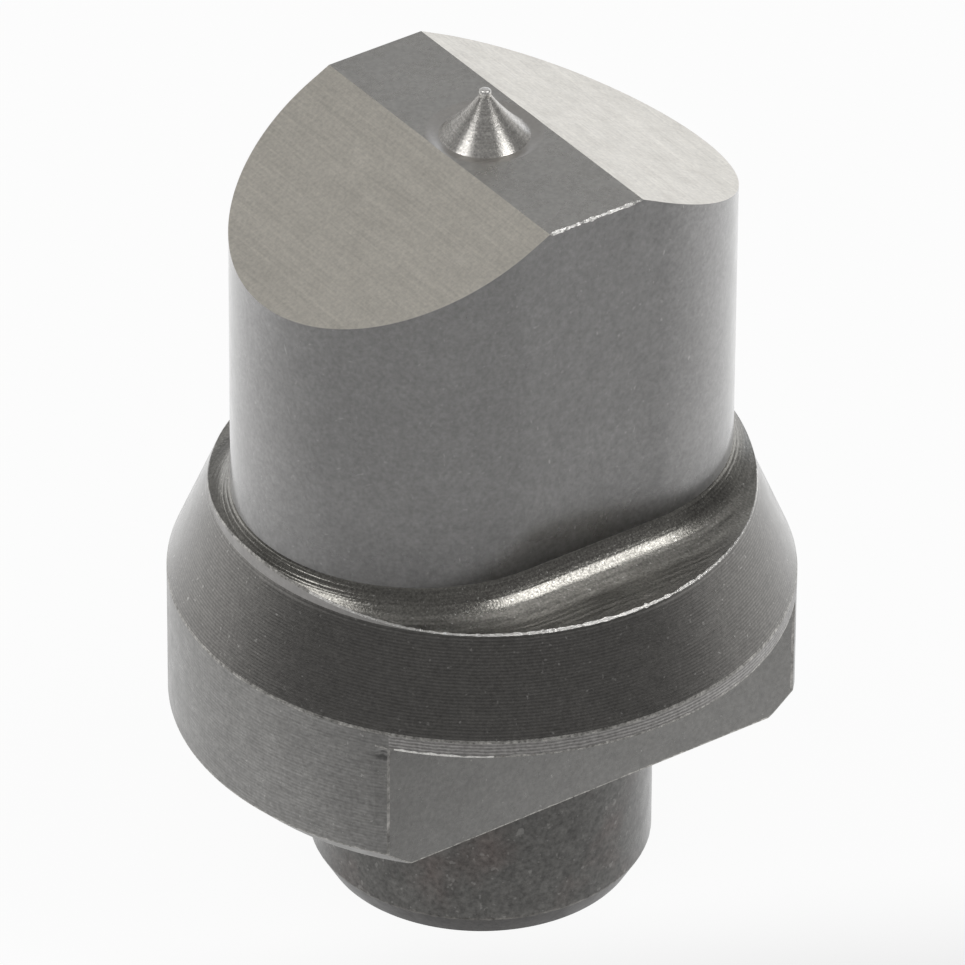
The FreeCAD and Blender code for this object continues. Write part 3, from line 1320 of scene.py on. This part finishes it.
    def strip_burr(self, angle: float) -> Row:
        """Give how far the ragged edge at the strip's front end reaches in and down.

        Args:
            angle: The column's angle from +X.

        Returns:
            The reach inwards and the reach down, both 0 away from the strip.
        """
        x = self.oval_out(angle) * math.cos(angle)
        if math.sin(angle) > 0 or abs(x) > self.strip_half - HAIR:
            return 0.0, 0.0
        reach = self.strip_burr_width * max(0.4, self.uneven(angle, self.strip_burr_edge))
        return 0.75 * reach, 0.65 * reach

    def gap_at_shank(self, angle: float) -> float:
        """Give the distance from the oval's wall to the round shank's surface.

        Args:
            angle: The column's angle from +X.

        Returns:
            The distance in millimetres.
        """
        x = self.shank_radius * abs(math.cos(angle))
        y = self.shank_radius * abs(math.sin(angle))
        return math.hypot(max(0.0, x - self.oval_reach), y) - self.oval_radius

    def body(self, skin: Skin) -> None:
        """Add everything round the axis, from the stub's end to the edge of the working face.

        Args:
            skin: The mesh that grows.
        """
        middles = []
        for i, angle in enumerate(self.angles):
            after = self.angles[(i + 1) % len(self.angles)]
            middles.append(angle + (after - angle) % math.tau / 2)

        def bands_at(angle: float) -> list[Band]:
            """List all the bands at an angle."""
            head = self.stub_rows(angle) + self.head_rows(angle)
            return head + self.cone_rows(angle) + self.shank_rows(angle)

        at_columns = [bands_at(angle) for angle in self.angles]
        at_middles = [bands_at(angle) for angle in middles]
        for number in range(len(at_columns[0])):
            columns = [self.column(a, bands[number][1]) for a, bands in zip(self.angles, at_columns)]
            skin.band(columns, [bands[number][0] for bands in at_middles])

    def ring_outline(self, angle: float) -> Row:
        """Give the ring's outer edge at an angle round the teat: radius and height.

        Args:
            angle: The angle from +X.

        Returns:
            The radius at which the ring breaks through the working face, and the height there.
        """
        if self.ring_radius * abs(math.cos(angle)) <= self.strip_half + HAIR:
            return self.ring_radius, self.strip_z
        low, high = self.strip_half / abs(math.cos(angle)), self.ring_radius
        for _ in range(40):
            middle = (low + high) / 2
            if self.ring_z(middle) < self.roof_z(middle * math.cos(angle)):
                low = middle
            else:
                high = middle
        return low, self.roof_z(low * math.cos(angle))

    def ring_z(self, radius: float) -> float:
        """Give the height of the turned ring's floor at a radius, level at its rim and at the teat's foot."""
        share = (self.ring_radius - radius) / (self.ring_radius - self.teat_radius)
        return self.strip_z - self.ring_depth * share * share * (3 - 2 * share)

    def teat_rows(self) -> list[Row]:
        """Give the rows of the teat, from its foot up the hollow flank to the crown of the nub.

        Returns:
            The rows of radius and height.
        """
        foot = (self.teat_radius, self.strip_z - self.ring_depth)
        tip = self.strip_z + self.teat_height
        neck = (self.nub_radius, tip - self.nub_height)
        length = math.hypot(foot[0] - neck[0], neck[1] - foot[1])
        across = ((neck[1] - foot[1]) / length, (foot[0] - neck[0]) / length)
        rows = []
        for share in spread(0.0, 1.0, self.flank_steps):
            hollow = self.flank_hollow * 4 * share * (1 - share)
            radius = foot[0] + (neck[0] - foot[0]) * share - across[0] * hollow
            rows.append((radius, foot[1] + (neck[1] - foot[1]) * share - across[1] * hollow))
        crown = self.nub_radius - self.nub_round
        for turn in spread(0.0, math.pi / 2, self.nub_steps):
            drop = self.nub_round * (1 - math.sin(turn))
            rows.append((crown + self.nub_round * math.cos(turn), tip - drop))
        rows.append((0.0, tip))
        return rows

    def working_face(self, skin: Skin) -> None:
        """Add the teat, its ring, the two halves of the strip and the two slopes of the roof.

        Args:
            skin: The mesh that grows.
        """
        nibble = math.acos(self.strip_half / self.ring_radius)
        special = [nibble, math.pi - nibble, math.pi + nibble, math.tau - nibble]
        angles = even_angles(self.teat_columns, special)
        rims = [self.ring_outline(angle) for angle in angles]
        ring = []
        for angle, (outer, height) in zip(angles, rims):
            rows = [(outer, height)]
            rows += [(r, self.ring_z(r)) for r in spread(outer, self.teat_radius, self.ring_steps)[1:]]
            ring.append(self.column(angle, rows))
        skin.band(ring, [Surface.RING] * len(ring))
        flank = self.teat_rows()
        neck = self.flank_steps
        for surface, rows in ((Surface.TEAT, flank[:neck + 1]), (Surface.NUB, flank[neck:])):
            skin.band([self.column(angle, rows) for angle in angles], [surface] * len(angles))
        rim_points = [self.column(a, [rim])[0] for a, rim in zip(angles, rims)]
        edge = []
        for angle in self.angles:
            wall = self.oval_out(angle)
            inward = self.strip_burr(angle)[0]
            edge.append(self.column(angle, [(wall - inward, self.roof_z(wall * math.cos(angle)))])[0])
        half = self.strip_half + HAIR
        for side in (1, -1):
            ends = [p for p in edge if abs(p[0]) <= half and side * p[1] > 0]
            ring_part = [p for p in rim_points if abs(p[0]) <= half and side * p[1] > 0]
            ends.sort(key=lambda p: -side * p[0])
            ring_part.sort(key=lambda p: side * p[0])
            skin.face(ends + ring_part, Surface.STRIP)
            slope = [p for p in edge if side * p[0] >= self.strip_half - HAIR]
            slope.sort(key=lambda p: side * math.atan2(p[1], side * p[0]))
            bite = [p for p in rim_points if side * p[0] >= self.strip_half - HAIR]
            bite.sort(key=lambda p: -side * math.atan2(p[1], side * p[0]))
            skin.face(slope + bite, Surface.ROOF)

    def build(self, materials: dict[Surface, bpy.types.Material]) -> bpy.types.Object:
        """Build the punch as one welded piece.

        Args:
            materials: The material of each surface.

        Returns:
            The dressed piece.
        """
        skin = Skin()
        self.body(skin)
        self.working_face(skin)
        punch = skin.mesh_object("punch_steel", materials)
        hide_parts("oval_punch")
        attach(punch, "root")
        log.info("punch_steel: %d points, %d faces", len(skin.points), len(skin.faces))
        return punch


@dataclass(frozen=True)
class Glow:
    """A soft bright or dark area of the studio, seen in a direction from the punch. Angles are in degrees."""

    azimuth: float
    elevation: float
    core: float
    fade: float
    level: float
    colour: str = "#FFFFFF"

    def light(self) -> Colour:
        """Give the area's colour times its level."""
        red, green, blue, _ = linear(self.colour)
        return red * self.level, green * self.level, blue * self.level, 1.0

    def factor(self, tree: bpy.types.NodeTree, direction: Source) -> Source:
        """Make the share of this area in a direction.

        Args:
            tree: The world's node tree.
            direction: The direction that light comes from.

        Returns:
            What is 1 within the core, and 0 past the fade.
        """
        along = add_node(
            tree,
            "ShaderNodeVectorMath",
            {"operation": "DOT_PRODUCT"},
            {0: direction, 1: towards(self.azimuth, self.elevation)},
        )
        return add_node(
            tree,
            "ShaderNodeMapRange",
            {"interpolation_type": "SMOOTHSTEP"},
            {
                "Value": along,
                "From Min": math.cos(math.radians(self.fade)),
                "From Max": math.cos(math.radians(self.core)),
            },
        )


@dataclass
class Studio:
    """Pale board, soft light and the camera. Lengths are in millimetres and angles in degrees."""

    board_size: float = 6000.0
    board_colour: str = "#F6F6F6"
    # How much of the board's light is plain white, under the punch and at the front of the studio
    board_white: float = 0.95
    board_front_white: float = 0.1
    # Near the punch it falls off straight towards the front, and further out with the angle from the front
    near_front_azimuth: float = -115.0
    near_start: float = 7.0
    near_end: float = 46.0
    far_front_azimuth: float = -125.0
    far_side: float = -0.6
    far_middle: float = 0.7
    far_start: float = 45.0
    far_end: float = 75.0
    sky: float = 0.4
    glows: tuple[Glow, ...] = (
        # The dim front half of the room, where the camera stands at an azimuth of about -125
        Glow(-125.0, 0.0, 60.0, 112.0, 0.25),
        # Darker parts of the room to the left and right, which keep the teat's sides dark
        Glow(145.0, 25.0, 6.0, 28.0, 0.2),
        Glow(-20.0, 22.0, 6.0, 28.0, 0.17),
        # Cool window light low behind the punch
        Glow(43.0, -4.0, 14.0, 32.0, 1.29, "#F4F8FF"),
        # A soft lamp to the right of the camera, and one to its left
        Glow(-38.0, 58.5, 3.5, 13.0, 5.3),
        Glow(155.0, 58.0, 4.0, 15.0, 3.6),
    )
    camera_azimuth: float = -35.367
    camera_elevation: float = 34.027
    camera_roll: float = 0.374
    camera_distance: float = 736.2
    camera_lens: float = 435.13
    camera_sensor: float = 36.0
    camera_reach: Row = (0.01, 20.0)
    aim: Point = (0.0, 0.0, 27.70)

    def build(self) -> None:
        """Make the board, the world and the camera."""
        self.board()
        self.world()
        self.camera()
        log.info("studio: board, world with %d soft areas, camera", len(self.glows))

    def board(self) -> None:
        """Lay the pale board that the punch stands on."""
        half = self.board_size / 2 * MM
        corners = [(-half, -half, 0), (half, -half, 0), (half, half, 0), (-half, half, 0)]
        mesh = bpy.data.meshes.new("floor")
        mesh.from_pydata(corners, [], [(0, 1, 2, 3)])
        floor = bpy.data.objects.new("floor", mesh)
        bpy.context.scene.collection.objects.link(floor)
        paint = bpy.data.materials.new("pale_studio_board")
        paint.use_nodes = True
        tree = paint.node_tree
        tree.nodes.clear()
        lit = add_node(tree, "ShaderNodeBsdfDiffuse", inputs={"Color": linear(self.board_colour)})
        glow = add_node(tree, "ShaderNodeEmission", inputs={"Color": (1, 1, 1, 1), "Strength": 1.0})
        # The camera, and metal that mirrors the board, see it as white with the punch's soft shadow on it
        path = add_node(tree, "ShaderNodeLightPath")
        seen: Source = path.outputs["Is Camera Ray"]
        for ray in ("Is Glossy Ray", "Is Transmission Ray"):
            seen = add_node(
                tree, "ShaderNodeMath", {"operation": "MAXIMUM"}, {0: seen, 1: path.outputs[ray]}
            )
        # The glow's share is a painted pool of light round the punch that fades towards the front
        share = add_node(
            tree, "ShaderNodeMath", {"operation": "MULTIPLY"}, {0: seen, 1: self.painted_light_pool(tree)}
        )
        board = add_node(tree, "ShaderNodeMixShader", inputs={0: share, 1: lit, 2: glow})
        add_node(tree, "ShaderNodeOutputMaterial", inputs={"Surface": board})
        mesh.materials.append(paint)

    def painted_light_pool(self, tree: bpy.types.NodeTree) -> Source:
        """Make the share of the board's glow, a painted pool of light: most under and behind the punch, least
        at the front.

        Args:
            tree: The board's node tree.

        Returns:
            What carries the whiteness.
        """
        place = add_node(tree, "ShaderNodeTexCoord").outputs["Object"]
        outwards = add_node(tree, "ShaderNodeVectorMath", {"operation": "NORMALIZE"}, {0: place})
        levels = []
        for point, azimuth, start, end in (
            (place, self.near_front_azimuth, self.near_start * MM, self.near_end * MM),
            (outwards, self.far_front_azimuth, self.far_side, self.far_middle),
        ):
            ahead = add_node(
                tree, "ShaderNodeVectorMath", {"operation": "DOT_PRODUCT"}, {0: point, 1: towards(azimuth)}
            )
            fall = {
                "Value": ahead,
                "From Min": start,
                "From Max": end,
                "To Min": self.board_white,
                "To Max": self.board_front_white,
            }
            smooth = {"interpolation_type": "SMOOTHSTEP"}
            levels.append(add_node(tree, "ShaderNodeMapRange", smooth, fall))
        distance = add_node(tree, "ShaderNodeVectorMath", {"operation": "LENGTH"}, {0: place})
        far = add_node(
            tree,
            "ShaderNodeMapRange",
            {"interpolation_type": "SMOOTHSTEP"},
            {"Value": distance, "From Min": self.far_start * MM, "From Max": self.far_end * MM},
        )
        near_level, far_level = levels
        return add_node(
            tree, "ShaderNodeMix", {"data_type": "FLOAT"}, {"Factor": far, 2: near_level, 3: far_level}
        )

    def world(self) -> None:
        """Make the soft studio light as areas of brightness round the punch."""
        world = bpy.data.worlds.new("soft_studio")
        bpy.context.scene.world = world
        world.use_nodes = True
        tree = world.node_tree
        tree.nodes.clear()
        direction = add_node(tree, "ShaderNodeTexCoord").outputs["Generated"]
        light: object = (self.sky, self.sky, self.sky, 1.0)
        for glow in self.glows:
            share = glow.factor(tree, direction)
            light = add_node(
                tree, "ShaderNodeMix", {"data_type": "RGBA"}, {"Factor": share, 6: light, 7: glow.light()}
            )
        sky = add_node(tree, "ShaderNodeBackground", inputs={"Color": light, "Strength": 1.0})
        add_node(tree, "ShaderNodeOutputWorld", inputs={"Surface": sky})

    def camera(self) -> None:
        """Stand the camera at the photograph's viewing angle."""
        data = bpy.data.cameras.new("camera")
        data.sensor_width = self.camera_sensor
        data.lens = self.camera_lens
        data.clip_start, data.clip_end = self.camera_reach
        camera = bpy.data.objects.new("camera", data)
        bpy.context.scene.collection.objects.link(camera)
        a, e = math.radians(self.camera_azimuth), math.radians(self.camera_elevation)
        back = Vector((math.sin(a) * math.cos(e), -math.cos(a) * math.cos(e), math.sin(e)))
        right = Vector((math.cos(a), math.sin(a), 0.0))
        facing = Matrix((right, back.cross(right), back)).transposed()
        roll = Matrix.Rotation(math.radians(self.camera_roll), 3, "Z")
        place = (Vector(self.aim) + back * self.camera_distance) * MM
        camera.matrix_world = Matrix.Translation(place) @ (facing @ roll).to_4x4()
        bpy.context.scene.camera = camera


def main() -> None:
    """Build the punch and its studio."""
    logging.basicConfig(level=logging.INFO, format="%(name)s %(message)s")
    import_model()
    made: dict[SteelFinish, bpy.types.Material] = {}
    materials = {}
    for surface, finish in finishes().items():
        if finish not in made:
            made[finish] = finish.material()
        materials[surface] = made[finish]
    OvalPunch().build(materials)
    Studio().build()
    bpy.context.scene.view_settings.view_transform = "Standard"


if __name__ == "__main__":
    main()
